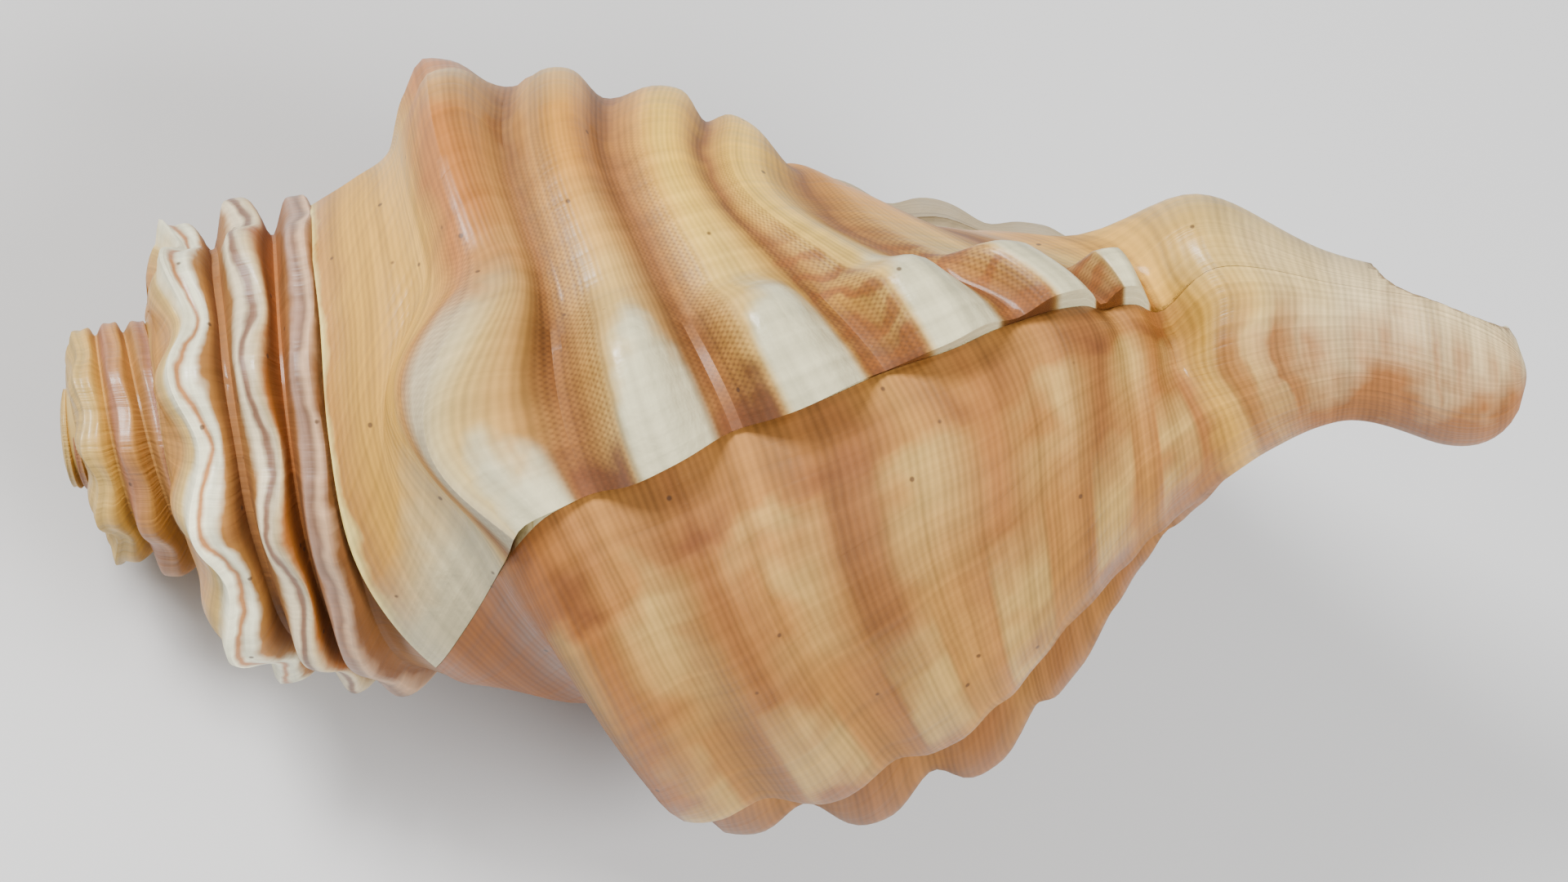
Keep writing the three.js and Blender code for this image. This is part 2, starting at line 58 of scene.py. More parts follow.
# Outlines round the axis: angle, then [mm from the apex, radius] for each column.
OUTLINES = [
    [-805, [0.7, 5.0], [0.8, 6.2], [1.0, 7.4], [1.4, 8.6], [2.5, 9.4], [4.0, 9.3], [5.4, 10.0],
     [6.8, 9.5], [8.4, 10.0], [9.5, 9.2]],
    [-445, [9.0, 9.8], [9.8, 12.3], [10.6, 14.8], [11.6, 17.2], [13.4, 17.8], [16.4, 17.6],
     [19.4, 20.4], [22.5, 18.8], [25.3, 20.8], [27.5, 19.0]],
    [-275, [14.6, 15.6], [15.6, 18.4], [17.0, 21.4], [18.8, 23.8], [21.2, 24.6], [24.6, 24.0],
     [27.8, 26.0], [29.8, 25.0], [32.2, 27.0], [35.4, 26.2], [39.6, 27.2], [43.6, 25.4],
     [47.0, 22.5]],
    [-180, [20.5, 18.5], [23.0, 21.0], [26.0, 23.8], [28.6, 27.4], [31.0, 29.8], [35.0, 29.0],
     [39.0, 30.6], [43.0, 28.5], [47.5, 29.3], [51.0, 26.8], [55.0, 26.0], [58.5, 22.0],
     [62.0, 20.5], [68.0, 15.5], [73.0, 14.0], [86.0, 11.5], [98.0, 14.0]],
    [-85, [26.4, 21.3], [30.8, 23.8], [34.8, 26.4], [36.8, 30.6], [40.8, 34.0], [47.0, 32.6],
     [52.3, 33.0], [57.0, 31.0], [63.6, 30.4], [67.0, 28.2], [71.0, 26.8], [75.0, 23.4],
     [79.0, 21.5], [87.0, 17.0], [94.0, 15.6], [104.0, 14.6], [115.0, 14.5]],
    [-45, [27.6, 23.2], [32.0, 25.8], [37.0, 28.4], [39.0, 32.2], [42.6, 34.4], [47.8, 32.8],
     [53.4, 33.6], [58.2, 31.0], [63.8, 30.6], [68.5, 27.8], [73.6, 26.6], [81.0, 22.0],
     [92.0, 18.6], [101.0, 15.0], [106.5, 13.6], [110.4, 12.0], [116.5, 14.0]],
    [-22, [28.6, 24.6], [33.0, 27.2], [39.0, 29.6], [42.0, 33.2], [46.5, 34.6], [51.0, 32.8],
     [57.0, 33.8], [62.5, 30.6], [69.6, 30.2], [77.0, 26.8], [86.0, 25.6], [95.0, 21.4],
     [103.2, 18.6], [107.2, 14.4], [110.2, 13.2], [113.0, 9.5], [119.0, 12.5]],
    [5, [29.2, 26.0], [33.6, 28.4], [40.4, 31.4], [43.0, 35.2], [47.5, 37.2], [53.0, 35.5],
     [61.2, 36.0], [68.8, 33.2], [77.6, 32.4], [85.6, 29.2], [93.4, 26.6], [99.6, 22.6],
     [105.0, 19.5], [108.6, 14.8], [111.0, 13.6], [113.8, 9.8], [119.0, 11.6]],
    [30, [30.6, 26.6], [37.0, 28.6], [44.6, 31.6], [48.6, 37.4], [53.6, 39.6], [59.5, 38.6],
     [66.6, 39.2], [73.2, 36.8], [80.6, 34.8], [87.6, 32.0], [94.6, 29.0], [100.2, 25.2],
     [105.4, 20.8], [109.2, 17.2], [112.0, 15.2], [116.0, 12.0], [121.0, 10.8]],
    [72, [38.5, 28.0], [46.0, 29.4], [54.8, 31.0], [58.6, 40.8], [63.0, 43.6], [69.6, 41.8],
     [76.6, 42.0], [83.0, 37.8], [88.6, 35.4], [93.4, 32.4], [97.6, 29.0], [102.0, 25.0],
     [106.4, 20.6], [110.0, 17.6], [113.0, 15.6], [117.5, 12.8], [123.0, 10.6]],
    [112, [45.6, 28.2], [53.0, 31.2], [60.6, 33.5], [64.2, 42.6], [68.6, 45.4], [75.5, 43.6],
     [82.0, 44.4], [88.6, 41.2], [94.6, 39.4], [99.5, 34.6], [103.3, 30.6], [107.0, 25.4],
     [110.0, 20.4], [113.0, 17.0], [116.0, 15.0], [119.5, 12.6], [124.0, 10.6]],
    [200, [57.5, 27.6], [64.0, 32.4], [71.0, 36.6], [75.4, 44.6], [79.6, 48.6], [85.4, 46.8],
     [91.0, 47.8], [96.4, 43.6], [101.4, 41.6], [105.0, 37.0], [108.4, 32.6], [111.6, 26.4],
     [114.4, 21.5], [117.0, 17.6], [119.0, 15.4], [122.0, 12.8], [126.0, 10.6]],
    [240, [63.0, 28.6], [69.0, 31.6], [76.0, 36.0], [80.0, 43.0], [84.0, 47.0], [89.0, 46.0],
     [94.0, 46.0], [99.0, 43.0], [103.0, 41.0], [107.0, 37.0], [110.0, 33.0], [113.0, 27.0],
     [116.0, 22.0], [118.0, 18.0], [120.0, 15.0], [123.0, 12.8], [126.0, 10.6]],
]
# The canal's end, shared by the outlines of the last whorl.
CANAL = [[131.0, 8.4], [140.5, 8.8], [LENGTH, 9.2]]

# How far each column runs ahead of the line's turn, on the rib and at the lip.
RIB_SLANT = np.array([58, 40, 22, 13, 7, 4, 0, -4, -8, -13, -18, -26, -33, -38, -41, -44, -46,
                      -48, -50, -50], float)
LIP_SLANT = np.array([36, 24, 12, 6, 4, 2, 1, 0, 0, 1, 2, 5, 10, 15, 21, 24, 24, 20, 20, 20],
                     float)

# Rows of knobs on the last whorl: turn, spread before and after, rise on each of the six ridges.
KNOB_ROWS = [
    (-108, 26, 20, (3.0, 2.6, 2.2, 1.8, 1.5, 0.6)),
    (-68, 22, 42, (3.0, 2.4, 1.8, 1.4, 1.0, 0.5)),
    (78, 24, 12, (0.8, 0.5, 0.8, 0.8, 0.5, 0.3)),
    (107, 20, 22, (3.0, 2.4, 2.2, 1.4, 0.6, 0.4)),
    (152, 20, 22, (2.4, 2.2, 2.2, 1.6, 1.0, 0.5)),
    (196, 22, 22, (2.4, 2.2, 2.2, 1.6, 1.0, 0.5)),
]
# For each of the six ridges: how high its finger stands in mm, the turn where the finger starts and how
# far it leans to the apex. The spire's knobs follow in the same way, as shares of a whole knob.
FINGER_RISE = (8.0, 8.2, 7.6, 6.6, 5.4, 4.8)
FINGER_START = (-36, -20, -15, -12, -11, -11)
FINGER_BACK = (6.0, 0.6, 0.5, 0, 0, 0)
SPIRE_KNOB_SPACING = 37.5  # degrees
SPIRE_KNOB_RISE = 1.7     # mm
SPIRE_KNOB_SHARE = (1.2, 1.1, 0.7, 0.3, 0, 0)
SPIRE_KNOB_BACK = (1.1, 0.9, 0.4, 0, 0, 0)
CORD_RISE = 1.7           # mm
CORD_ROUNDING = 3.4       # mm, how much fuller the sides of the spire's cords are
FULLNESS = 0.22           # how far the ridges' flanks swell, as a share of their knobs
SPIRE_FULLNESS = 0.3      # and the same on the spire
SPIRE_FADE = (-190, -140)  # turns over which the spire's knobs and cords fade out
FULL_FADE = (-315, -265)   # turns over which its fuller flanks fade out
SLANT_START = (-330, -180)  # turns over which the growth lines begin to slant
# Column, its share of the first ridge's rise, and its lean to the apex on the rib in mm.
SHOULDER = ((2, 0.05, 4.4), (3, 0.72, 5.2))
# Column of a groove, and its rise at the rib's edge in mm.
GROOVE_EDGE = ((5, 0.7), (7, 0.5), (9, 0.7), (11, 1.1), (13, 1.0))
# A fold and a pit by the canal: mm from the apex, its spread, angle, its spread, and the rise in mm.
CANAL_FOLD = (117, 8, -72, 42, 3)
CANAL_PIT = (113, 2.4, -22, 18, -2.6)
FOLD_TURN = 78            # a low fold across the last half turn, and the dip after it
FOLD_RISE = np.array([0, 0, 0, 0, 0, 0.2, 0.2, 0.8, 1.4, 2, 2, 1.6, 1, 0.5, 0, 0, 0, 0, 0, 0])
DIP_ANGLE = 87
DIP_DEPTH = np.array([0, 0, 0, 2.5, 5, 6, 6.5, 7, 7.5, 7.5, 7.5, 7, 5, 3, 1.5, 0, 0, 0, 0, 0])


def ease(start, end, value):
    t = np.clip((value - start) / (end - start), 0, 1)
    return t * t * (3 - 2 * t)


def hump(value, centre, before, after):
    spread = np.where(value < centre, before, after)
    return np.cos(np.clip(np.abs(value - centre) / spread, 0, 1) * np.pi / 2) ** 2


def full_outline(angle, points):
    line = [list(p) for p in points] + (CANAL if angle > -200 else [])
    x, r = line[-1]
    missing = COLUMNS - len(line)
    for i in range(1, missing + 1):
        line.append([x + i * (2 + x * 0.03), max(r * (1 - i / missing), 0.3)])
    return line


outline_angles = np.array([row[0] for row in OUTLINES], float)
outlines = np.array([full_outline(row[0], row[1:]) for row in OUTLINES])
spans = np.diff(outline_angles)[:, None, None]
rises = np.diff(outlines, axis=0) / spans
slopes = np.empty_like(outlines)
slopes[1:-1] = (rises[:-1] * spans[1:] + rises[1:] * spans[:-1]) / (spans[:-1] + spans[1:])
slopes[1:-1][rises[1:] == 0] = 0
slopes[0] = rises[0] * 0.6
slopes[-1] = rises[-1]


def wall_point(column, angle):
    """[mm from the apex, radius] of one column at angles round the axis."""
    at = np.maximum(angle, outline_angles[0])
    i = np.clip(np.searchsorted(outline_angles, at, side="right") - 1, 0, len(outline_angles) - 2)
    h = (outline_angles[i + 1] - outline_angles[i])[..., None]
    t = ((at - outline_angles[i]) / h[..., 0])[..., None]
    value = ((2 * t**3 - 3 * t**2 + 1) * outlines[i, column]
             + (t**3 - 2 * t**2 + t) * h * slopes[i, column]
             + (3 * t**2 - 2 * t**3) * outlines[i + 1, column]
             + (t**3 - t**2) * h * slopes[i + 1, column])
    early = np.minimum(angle - FULL_SIZE_TURN, 0) / 360
    return value * np.stack([LENGTH_GAIN**early, WIDTH_GAIN**early], -1)


def knob(ridge, turn):
    """Rise of a ridge's knobs, and how far they lean toward the apex."""
    rise = sum(row[3][ridge] * hump(turn, *row[:3]) for row in KNOB_ROWS)
    on_rib = turn < RIB_TURN
    peak = FINGER_START[ridge] * 0.4 + 2
    rise = rise + on_rib * FINGER_RISE[ridge] * hump(turn, peak, peak - FINGER_START[ridge], 34)
    back = on_rib * FINGER_BACK[ridge] * hump(turn, -3, 22, 20)
    young = 2 ** ((np.minimum(turn, -430) + 430) / 360 * 1.15)
    size = SPIRE_KNOB_RISE * young * ease(-950, -600, turn) * (1 - ease(*SPIRE_FADE, turn))
    wave = np.cos(np.radians((turn - 4) * 360 / SPIRE_KNOB_SPACING)) * 0.5 + 0.15
    return rise + size * wave * SPIRE_KNOB_SHARE[ridge], back + size * wave * SPIRE_KNOB_BACK[ridge]


def growth_lines(turns, plain=False):
    """[mm from the apex, radius, angle] for every column of a growth line at each turn."""
    slanted = ease(*SLANT_START, turns)[:, None]
    flat = ease(30, LIP_TURN, turns)[:, None]
    angles = turns[:, None] + slanted * (RIB_SLANT + (LIP_SLANT - RIB_SLANT) * flat)
    lines = np.stack([wall_point(c, angles[:, c]) for c in range(COLUMNS)], 1)
    lines = np.concatenate([lines, angles[..., None]], 2)
    lines[..., 1] -= hump(angles, DIP_ANGLE, 14, 15) * DIP_DEPTH
    if plain:
        return lines
    for ridge, column in enumerate(RIDGES):
        rise, back = knob(ridge, turns)
        lines[:, column, 0] -= back
        lines[:, column, 1] += rise
    rise, back = knob(0, turns)
    on_rib = turns < RIB_TURN
    carried = 1 - 0.6 * ease(-5, RIB_TURN, turns) * on_rib
    for column, share, lean in SHOULDER:
        tilt = lean * hump(lines[:, column, 2], -1, 24, 28) * on_rib
        lines[:, column, 0] -= np.where(turns < -150, back, tilt)
        lines[:, column, 1] += np.maximum(rise, 0) * share * carried
    for column, edge in GROOVE_EDGE:
        lines[:, column, 1] += edge * hump(turns, RIB_TURN, 16, 16) * on_rib
    lines[..., 1] += hump(turns, FOLD_TURN, 24, 14)[:, None] * FOLD_RISE
    return lines


def between_columns(lines, across):
    """The same lines at any places across them, on smooth curves through the columns."""
    last = lines.shape[1] - 1
    i = np.minimum(across.astype(int), last - 1)
    t = (across - i)[None, :, None]
    a, b, c, d = (lines[:, np.clip(i + k, 0, last)] for k in (-1, 0, 1, 2))
    return 0.5 * (2 * b + (c - a) * t + (2 * a - 5 * b + 4 * c - d) * t**2
                  + (3 * b - a - 3 * c + d) * t**3)


def wall_lines(turns, across):
    """The wall's outside, with the spire's narrow cords, the canal's fold and the pit beside it."""
    last = int(across[-1])
    lines = between_columns(growth_lines(turns)[:, :last + 1], across)
    cord = CORD_RISE * 2 ** (np.minimum(turns + 290, 0) / 360) * (1 - ease(*SPIRE_FADE, turns))
    rounding = CORD_ROUNDING / CORD_RISE * (1 - ease(*FULL_FADE, turns))
    share = SPIRE_FULLNESS + (FULLNESS - SPIRE_FULLNESS) * ease(*FULL_FADE, turns)
    for column in RIDGES[:3]:
        away = (across - column) ** 2
        lines[..., 1] += cord[:, None] * (np.exp(-(away / 0.42) ** 3) - 0.25 * np.exp(-away / 0.9))
        round_side = np.sqrt(np.clip(1 - away / 0.72, 0, 1))
        round_side = round_side - np.cos(np.sqrt(away) * np.pi / 2) ** 2
        round_side = np.where(away < 1, np.maximum(round_side, 0), 0)
        lines[..., 1] += (rounding * cord)[:, None] * round_side
    for ridge, column in enumerate(RIDGES):
        flank = np.sin(np.pi * across) ** 2 * (np.abs(across - column) < 1)
        full = share * (knob(ridge, turns)[0] + ease(-190, -150, turns))
        lines[..., 1] += full[:, None] * flank
    x, r, angle = np.moveaxis(lines, 2, 0)
    side = (angle + 180) % 360 - 180
    for x_at, x_spread, angle_at, angle_spread, rise in (CANAL_FOLD, CANAL_PIT):
        swelling = np.exp(-(((x - x_at) / x_spread) ** 2) - ((side - angle_at) / angle_spread) ** 2)
        r = r + rise * swelling
    rounded = np.sqrt(np.clip(1 - (np.maximum(x - 139, 0) / (LENGTH - 138.9)) ** 2, 0, 1))
    lines[..., 1] = np.maximum(r * rounded, 0.3)
    return lines


# How the shell rests: turned about its axis, then the canal raised, then set on the floor.
REST_ROLL = -74.2
REST_PITCH = -23.3
REST_SHIFT = (-68.15, 3.66, 16.64)


def resting(points):
    """From the shell's own frame in mm (X from apex to canal) to where it lies, in metres."""
    x, y, z = np.moveaxis(np.asarray(points, float), -1, 0)
    roll, pitch = math.radians(REST_ROLL), math.radians(REST_PITCH)
    y, z = y * math.cos(roll) - z * math.sin(roll), y * math.sin(roll) + z * math.cos(roll)
    x, z = x * math.cos(pitch) + z * math.sin(pitch), z * math.cos(pitch) - x * math.sin(pitch)
    return (np.stack([x, y, z], -1) + REST_SHIFT) / 1000


def off_axis(x):
    """How far the canal lies to one side of the axis; its tip droops back."""
    return CANAL_RISE * ease(104, 128, x) - TIP_DROOP * ease(130, LENGTH, x)


def round_axis(lines):
    x, r, angle = np.moveaxis(lines, -1, 0)
    turn = np.radians(angle)
    return np.stack([x, -r * np.cos(turn), off_axis(x) - r * np.sin(turn)], -1)


def growth_block(name, turns, across, outer, inner, inside):
    """A closed block: a flat grid, thickened, whose points move out to the wall and in to the axis."""
    rows, places = len(turns), len(across)
    bpy.ops.mesh.primitive_grid_add(x_subdivisions=rows - 1, y_subdivisions=places - 1, size=2)
    block = bpy.context.object
    block.name = name
    bpy.ops.object.mode_set(mode="EDIT")
    bpy.ops.mesh.extrude_region_move(TRANSFORM_OT_translate={"value": (0, 0, 1)})
    bpy.ops.object.mode_set(mode="OBJECT")
    mesh = block.data
    flat = np.empty(len(mesh.vertices) * 3)
    mesh.vertices.foreach_get("co", flat)
    flat = flat.reshape(-1, 3)
    row = np.rint((flat[:, 0] + 1) / 2 * (rows - 1)).astype(int)
    place = np.rint((flat[:, 1] + 1) / 2 * (places - 1)).astype(int)
    lifted = flat[:, 2] > 0.5
    spot = np.where(lifted[:, None], outer[row, place], inner[row, place])
    mesh.vertices.foreach_set("co", resting(round_axis(spot)).ravel())
    corner = np.empty(len(mesh.loops), int)
    mesh.loops.foreach_get("vertex_index", corner)
    growth = np.stack([turns[row] / 360, across[place] / COLUMNS], -1)[corner]
    mesh.uv_layers[0].name = "growth"
    mesh.uv_layers[0].data.foreach_set("uv", growth.astype(np.float32).ravel())
    lining = mesh.attributes.new("lining", "FLOAT", "POINT")
    lining.data.foreach_set("value", np.full(len(mesh.vertices), inside, np.float32))
    underside = mesh.attributes.new("underside", "FLOAT", "POINT")
    underside.data.foreach_set("value", np.sin(np.radians(spot[:, 2])).astype(np.float32))
    across_mm = mesh.attributes.new("across_mm", "FLOAT", "POINT")
    across_mm.data.foreach_set("value", np.interp(across[place], *distance_across).astype(np.float32))
    bpy.ops.object.mode_set(mode="EDIT")
    bpy.ops.mesh.select_all(action="SELECT")
    bpy.ops.mesh.normals_make_consistent(inside=False)
    bpy.ops.object.mode_set(mode="OBJECT")
    return block


def steps(start, end, size):
    return np.linspace(start, end, max(round((end - start) / size), 1) + 1)


fine_columns = np.linspace(0, COLUMNS - 1, 191)
sample_line = between_columns(growth_lines(np.array([60.0])), fine_columns)[0, :, :2]
distance_across = (fine_columns,
                   np.append(0, np.cumsum(np.hypot(*np.diff(sample_line, axis=0).T))))


def places_across(last, spacing):
    """Places from the seam to the last column, about evenly spaced in mm."""
    length = np.interp(last, *distance_across)
    return np.interp(np.linspace(0, length, round(length / spacing) + 1), *distance_across[::-1])


def combine(shell, other, operation):
    joint = shell.modifiers.new("joint", "BOOLEAN")
    joint.operation = operation
    joint.solver = "MANIFOLD"
    joint.object = other
    bpy.context.view_layer.objects.active = shell
    bpy.ops.object.modifier_apply(modifier="joint")
    bpy.data.objects.remove(other)


# Whorls from the apex to the lip: first turn, last turn, step, last column, mm between points.
WHORLS = [
    (START_TURN, FULL_SIZE_TURN, 4, 10, 0.9),
    (FULL_SIZE_TURN, -445, 2.6, 10, 0.8),
    (-445, -150, 1.7, 12, 0.75),
    (-150, RIB_TURN - 0.1, 1.4, 19, 0.85),
    (RIB_TURN + 0.1, LIP_TURN, 1.3, 19, 0.85),
]

# A thin rod along the axis joins the whorls.
ROD = 1.2                 # mm, its radius
bpy.ops.mesh.primitive_cylinder_add(vertices=12, radius=ROD, depth=LENGTH - 3, end_fill_type="NGON")
shell = bpy.context.object
shell.name = "shell_wall"
bpy.ops.object.mode_set(mode="EDIT")
bpy.ops.mesh.subdivide(number_cuts=30)
bpy.ops.object.mode_set(mode="OBJECT")
pillar = np.empty(len(shell.data.vertices) * 3)
shell.data.vertices.foreach_get("co", pillar)
pillar = pillar.reshape(-1, 3)
pillar_x = pillar[:, 2] + LENGTH / 2
pillar = np.stack([pillar_x, pillar[:, 0], pillar[:, 1] + off_axis(pillar_x)], -1)
shell.data.vertices.foreach_set("co", resting(pillar).ravel())
shell.data.uv_layers[0].name = "growth"
for name in ("lining", "underside", "across_mm"):
    shell.data.attributes.new(name, "FLOAT", "POINT")

# The first whorls are worn to a smooth button at the apex.
BUTTON = (2.6, 5.6, 5.6)  # mm, half its length and its two radii
bpy.ops.mesh.primitive_uv_sphere_add(segments=36, ring_count=18, radius=1)
button = bpy.context.object
spots = np.empty(len(button.data.vertices) * 3)
button.data.vertices.foreach_get("co", spots)
spots = spots.reshape(-1, 3)[:, [2, 0, 1]] * BUTTON + (BUTTON[0], 0, 0)
button.data.vertices.foreach_set("co", resting(spots).ravel())
button.data.uv_layers[0].name = "growth"
button.data.uv_layers[0].data.foreach_set("uv", np.tile([-2.6, 0.2], len(button.data.loops)))
for name in ("lining", "underside", "across_mm"):
    button.data.attributes.new(name, "FLOAT", "POINT")
bpy.ops.object.mode_set(mode="EDIT")
bpy.ops.mesh.normals_make_consistent(inside=False)
bpy.ops.object.mode_set(mode="OBJECT")
combine(shell, button, "UNION")

for first, last, step, last_column, spacing in WHORLS:
    turns = steps(first, last, step)
    across = places_across(last_column, spacing)
    lines = wall_lines(turns, across)
    if first > RIB_TURN:      # growth after the rib starts a little inside its edge
        turns = np.concatenate([[first - 1.5], turns])
        lines = np.concatenate([lines[:1] - (0, 0.5, 1.5), lines])
    core = lines.copy()
    core[..., 0] = np.maximum.accumulate(lines[..., 0] + np.arange(len(across)) * 1e-3, axis=1)
    core[..., 1] = CORE
    block = growth_block("whorl", turns, across, lines, core, 0)
    combine(shell, block, "UNION")

# ---- The room ---------------------------------------------------------------------------------------
# The space the animal lived in follows the last one and a half turns, one wall inside the whorl. It
# opens at the mouth and runs on into the canal. Its lining is smooth, glossy and almost white.
WALL = 1.9                # mm
LIP_THICKENING = 1.6      # mm more at the lip
PARIETAL_WALL = 1.2       # mm left over the whorl before
PILLAR = 4.5              # mm, the least radius left round the axis
ROOM_SHIFT = 0.8          # mm toward the canal
ROUNDED = 3               # columns over which the room's corners are rounded
# First turn, last turn, step, last column, mm between points.
ROOMS = [(-330, -170, 8, 12, 2.5), (-170, 20, 6, 14, 2), (20, LIP_TURN + 12, 3, 15, 1.6)]
# The channel's path: mm from the apex, up, toward the back, and its radius.
CANAL_CHANNEL = [(100, -2, 3, 4), (114, 2, 2, 3.6), (124, 3.2, 0, 3.6), (132, 4.2, 0, 4.4),
                 (141, 7.5, -1, 6.2), (152, 13, -2, 8)]


def radius_under(x, angle):
    """Radius of the whorl before, under points of the wall."""
    before = np.stack([wall_point(c, angle - 360) for c in range(COLUMNS)], -2)
    low, high = before[..., :-1, :], before[..., 1:, :]
    step = high[..., 0] - low[..., 0]
    t = (x[..., None] - low[..., 0]) / np.where(step == 0, 1, step)
    radius = low[..., 1] + (high[..., 1] - low[..., 1]) * t
    return np.where((t >= 0) & (t <= 1), radius, 0).max(-1)


for first, last, step, last_column, spacing in ROOMS:
    turns = steps(first, last, step)
    across = places_across(last_column - 1, spacing)
    wall = WALL + LIP_THICKENING * ease(LIP_TURN - 30, LIP_TURN, turns)
    plain = growth_lines(np.minimum(turns, LIP_TURN), plain=True)[:, 1:last_column + 1]
    lines = between_columns(plain, across)
    lines[..., 2] += np.maximum(turns - LIP_TURN, 0)[:, None]
    floor = np.maximum(radius_under(lines[..., 0], lines[..., 2]) + PARIETAL_WALL, PILLAR)
    edge = np.minimum(np.minimum(across + 0.5, across[-1] + 0.5 - across), ROUNDED)
    room = np.maximum(lines[..., 1] - wall[:, None] - floor, 0.4) * np.sin(np.pi * edge / (2 * ROUNDED))
    lines[..., 0] += ROOM_SHIFT
    inner = lines.copy()
    inner[..., 1] = floor
    lines[..., 1] = floor + room
    block = growth_block("room", turns, across, lines, inner, 1)
    combine(shell, block, "DIFFERENCE")

bpy.ops.curve.primitive_nurbs_path_add()
channel = bpy.context.object
channel.name = "channel"
channel.data.splines.clear()
spline = channel.data.splines.new("NURBS")
spline.points.add(len(CANAL_CHANNEL) - 1)
spline.order_u = 4
spline.use_endpoint_u = True
for point, (x, up, toward_back, radius) in zip(spline.points, CANAL_CHANNEL):
    point.co = (*resting([x, toward_back, up]), 1)
    point.radius = radius
channel.data.bevel_depth = 0.001
channel.data.bevel_resolution = 10
channel.data.resolution_u = 8
channel.data.use_fill_caps = True
bpy.ops.object.convert(target="MESH")
channel = bpy.context.object
bpy.ops.object.mode_set(mode="EDIT")
bpy.ops.mesh.select_all(action="SELECT")
bpy.ops.mesh.remove_doubles(threshold=1e-6)
bpy.ops.mesh.normals_make_consistent(inside=False)
bpy.ops.object.mode_set(mode="OBJECT")
for name in ("underside", "across_mm"):
    channel.data.attributes.new(name, "FLOAT", "POINT")
lining = channel.data.attributes.new("lining", "FLOAT", "POINT")
lining.data.foreach_set("value", np.ones(len(channel.data.vertices), np.float32))
combine(shell, channel, "DIFFERENCE")

# The canal is open along one side, from the mouth's corner to its end: mm from the apex, and the
# angles of the opening's two edges.
SLIT = [(107.5, 233, 237), (112, 184, 243), (115, 186, 245), (117, 212, 245), (119, 226, 245.5),
        (124, 229, 246), (134, 228, 248), (142, 222, 254), (152, 208, 268)]
faces = [np.array([[(row[0], r, row[edge]) for r in (0.5, 5, 10, 16)] for row in SLIT], float)
         for edge in (2, 1)]
slit = growth_block("slit", np.full(len(SLIT), LIP_TURN), np.full(4, 18.0), *faces, 1)
combine(shell, slit, "DIFFERENCE")

# ---- The surface ------------------------------------------------------------------------------------
# Glossy aragonite, as the animal laid it down: cream and tan bands that follow the ridges, white fingers
# on the rib with red-brown between them, striped cords on the spire, and fine spiral threads. Aragonite's
# index is 1.53 to 1.69, a worn shell lies just below that, and its knobs carry soft highlights.

# Some light is painted in too: a highlight on two gold crests, and shade between the spiral threads.
# Its colours, in sRGB.
IVORY = "#f0ecca"
CREAM = "#decca6"
PALE_SAND = "#d4bc8c"
STRAW = "#ecd47c"
CHALK = "#ccc49e"
PEACH = "#d0a882"
# The next colour is a painted highlight, for the crests of two ridges.
PAINTED_HIGHLIGHT_GOLD = "#e8bc50"
YELLOW = "#f0b828"
ORANGE = "#e09828"
GOLD = "#d4a240"
BUFF = "#c8a65e"
MUSTARD = "#c89436"
HONEY = "#ca8a32"
DULL_GOLD = "#b6924e"
TAUPE = "#aa8670"
FAWN = "#b07a4c"
OCHRE = "#b47e36"
TAN = "#aa7838"
COPPER = "#ae6c2e"
TAWNY = "#9e6c32"
ROSE_BROWN = "#986448"
CHESTNUT = "#985a22"
BROWN = "#925e2c"
RUSSET = "#8e5422"
DARK_BROWN = "#88562a"
GREY_BROWN = "#805e48"
UMBER = "#7c4e28"
RED_BROWN = "#6e4022"
BLACK_BROWN = "#5e3a20"
DIRT = "#4a3222"


def linear(hex_colour):
    channels = [int(hex_colour[i:i + 2], 16) / 255 for i in (1, 3, 5)]
    return tuple(c / 12.92 if c <= 0.04045 else ((c + 0.055) / 1.055) ** 2.4 for c in channels) + (1,)


material = bpy.data.materials.new("glossy_aragonite")
material.use_nodes = True
tree = material.node_tree
tree.nodes.clear()


def add(kind, inputs, stops=None, **settings):
    """Adds a node with its settings, and links or sets its inputs."""
    node = tree.nodes.new(kind)
    for name, value in settings.items():
        setattr(node, name, value)
    for socket, value in inputs.items():
        if isinstance(value, bpy.types.NodeSocket):
            tree.links.new(value, node.inputs[socket])
        else:
            node.inputs[socket].default_value = value
    for i, (place, colour) in enumerate(stops or []):
        ramp = node.color_ramp.elements
        stop = ramp[i] if i < 2 else ramp.new(place)
        stop.position = place
        stop.color = linear(colour) if isinstance(colour, str) else (colour, colour, colour, 1)
    usable = [output for output in node.outputs if output.enabled]
    return usable[0] if usable else node


# Where a point lies on the growth surface: turn in degrees, column, and mm across the line.
growth = add("ShaderNodeUVMap", {}, uv_map="growth")
split = add("ShaderNodeSeparateXYZ", {0: growth}).node
turn = add("ShaderNodeMath", {0: split.outputs[0], 1: 360.0}, operation="MULTIPLY")
column = add("ShaderNodeMath", {0: split.outputs[1], 1: float(COLUMNS)}, operation="MULTIPLY")
across = add("ShaderNodeAttribute", {}, attribute_name="across_mm").node.outputs["Fac"]
place = add("ShaderNodeTexCoord", {}).node.outputs["Object"]

# Soft wandering of every band's edge, about 6 mm across, with finer wandering in it.
drift = add("ShaderNodeTexNoise", {"Vector": place, "Scale": 160.0, "Detail": 3.0})
drift = add("ShaderNodeMath", {0: drift, 1: 0.5}, operation="SUBTRACT")
band = add("ShaderNodeMath", {0: drift, 1: 0.9, 2: column}, operation="MULTIPLY_ADD")
band = add("ShaderNodeMath", {0: band, 1: float(COLUMNS)}, operation="DIVIDE")
edge = add("ShaderNodeMath", {0: drift, 1: 16.0, 2: turn}, operation="MULTIPLY_ADD")

